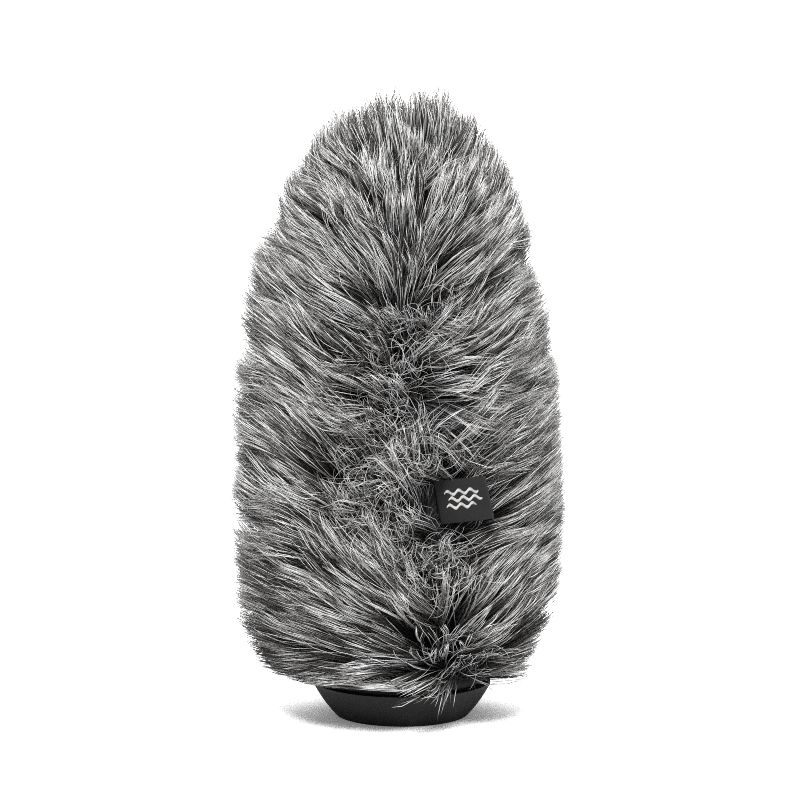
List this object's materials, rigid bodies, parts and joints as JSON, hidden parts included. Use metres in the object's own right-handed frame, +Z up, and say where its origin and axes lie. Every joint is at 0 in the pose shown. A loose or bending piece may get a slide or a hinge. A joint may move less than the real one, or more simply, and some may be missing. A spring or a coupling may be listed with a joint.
{
  "type": "furry windscreen",
  "caption": "Slip-on long-pile furry windscreen with a foam-lined cage and a rubber grip base, for a handheld or boom-mounted shotgun microphone.",
  "frame": {"origin": "centre of the base's flat foot, on the windscreen's axis", "axes": "+Z up the axis from the foot to the nose, -Y the front with the seam and its label, +X to the right seen from the front"},
  "size_m": [0.103, 0.103, 0.203],
  "materials": {
    "base_rubber": "matte dark grey moulded rubber with a fine grain",
    "collar_plastic": "matte black moulded plastic",
    "grip_rubber": "soft black rubber",
    "cage_plastic": "matte black moulded plastic",
    "stop_foam": "dense closed-cell foam, dark grey",
    "foam": "open-cell foam, dark grey",
    "fur": "long synthetic pile, black, charcoal and silver grey strands on a black knit",
    "binding_tape": "black twill tape",
    "thread": "black polyester thread",
    "elastic": "black braided elastic",
    "label": "black satin-woven label with a plain off-white woven figure"
  },
  "bodies": {
    "root": {"base_shell": "base_rubber", "base_collar": "collar_plastic", "grip_ring": "grip_rubber", "cage_half_left": "cage_plastic", "cage_half_right": "cage_plastic", "cage_nose_cap": "cage_plastic", "mic_stop_pad": "stop_foam", "foam_tube": "foam", "foam_nose": "foam", "fur_panel_left": "fur", "fur_panel_right": "fur", "seam_binding_tape": "binding_tape", "seam_thread": "thread", "hem_binding": "binding_tape", "hem_elastic": "elastic", "hem_thread": "thread"},
    "label": {"label_tag": "label"}
  },
  "joints": [
    {"name": "label_swing", "type": "hinge", "parent": "root", "child": "label", "pos_m": [0.0117, -0.03706, 0.0785], "axis": [0.0896, 0, -0.996], "range_deg": [-8, 65]}
  ]
}
